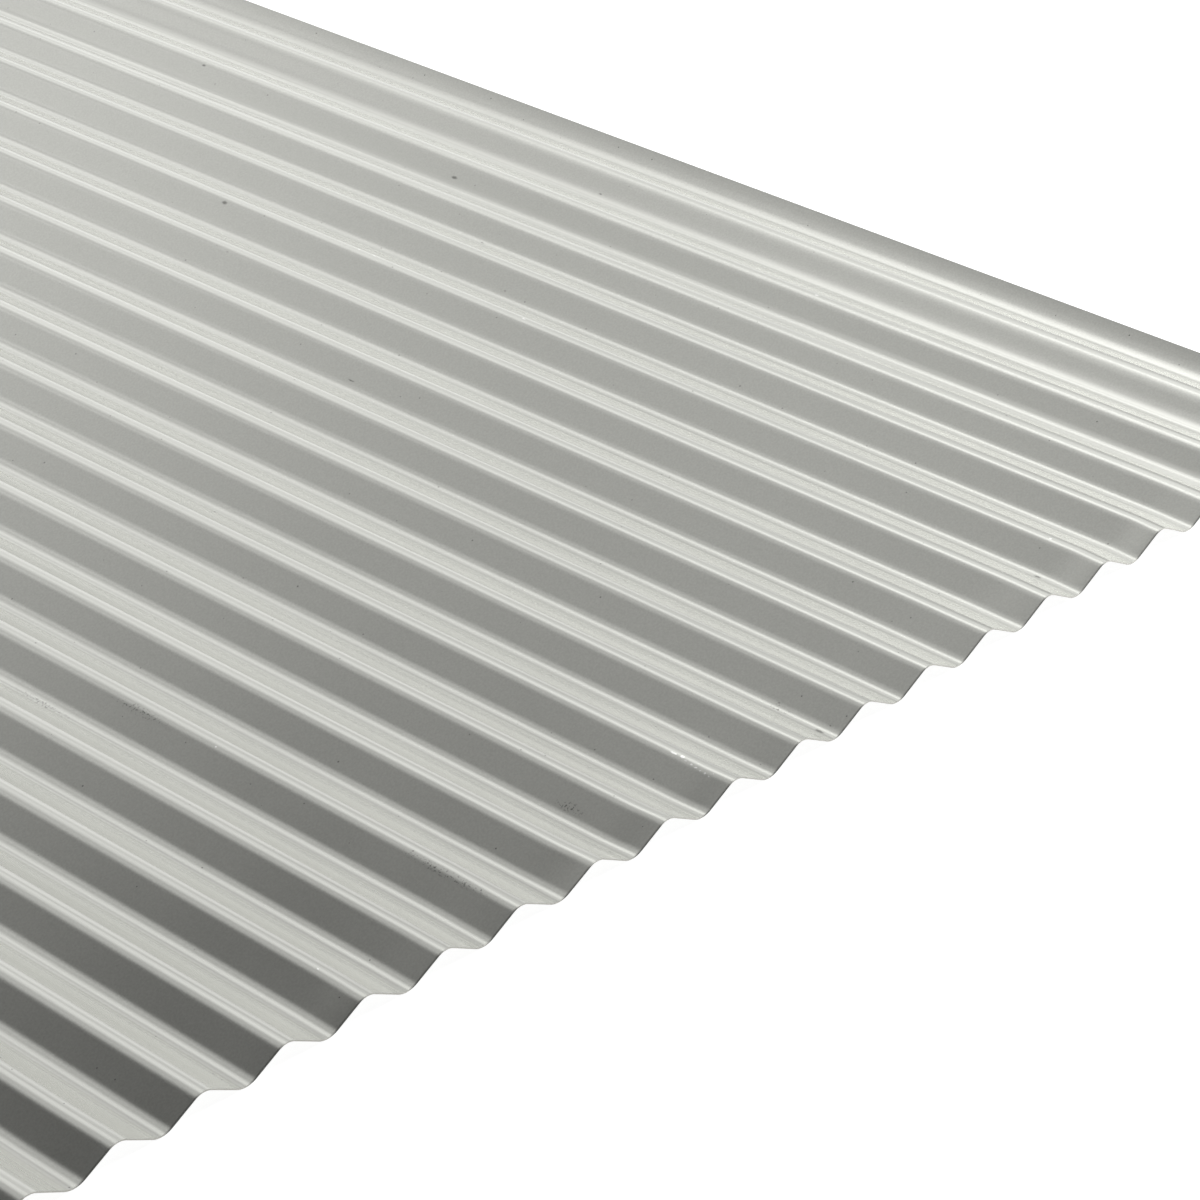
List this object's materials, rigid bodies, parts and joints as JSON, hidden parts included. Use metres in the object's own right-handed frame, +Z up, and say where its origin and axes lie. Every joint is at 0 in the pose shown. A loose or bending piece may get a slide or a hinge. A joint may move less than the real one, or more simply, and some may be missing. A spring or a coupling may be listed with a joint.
{
  "type": "corrugated metal sheet",
  "caption": "Roll-formed corrugated sheet of thin coated steel: fine round waves with straight flanks, cut square, one side edge turned up and the other down.",
  "frame": {"origin": "middle of the sheet in plan, at the height of the undersides of its troughs, which it lies on", "axes": "+Z up, corrugations run along Y, waves stand side by side along X, the side edge at +X turns up and the one at -X turns down"},
  "size_m": [0.8396, 2, 0.0075],
  "materials": {
    "coated_steel": "satin pale grey coating with a pearly sheen"
  },
  "bodies": {
    "root": {"corrugated_sheet": "coated_steel"}
  },
  "joints": []
}
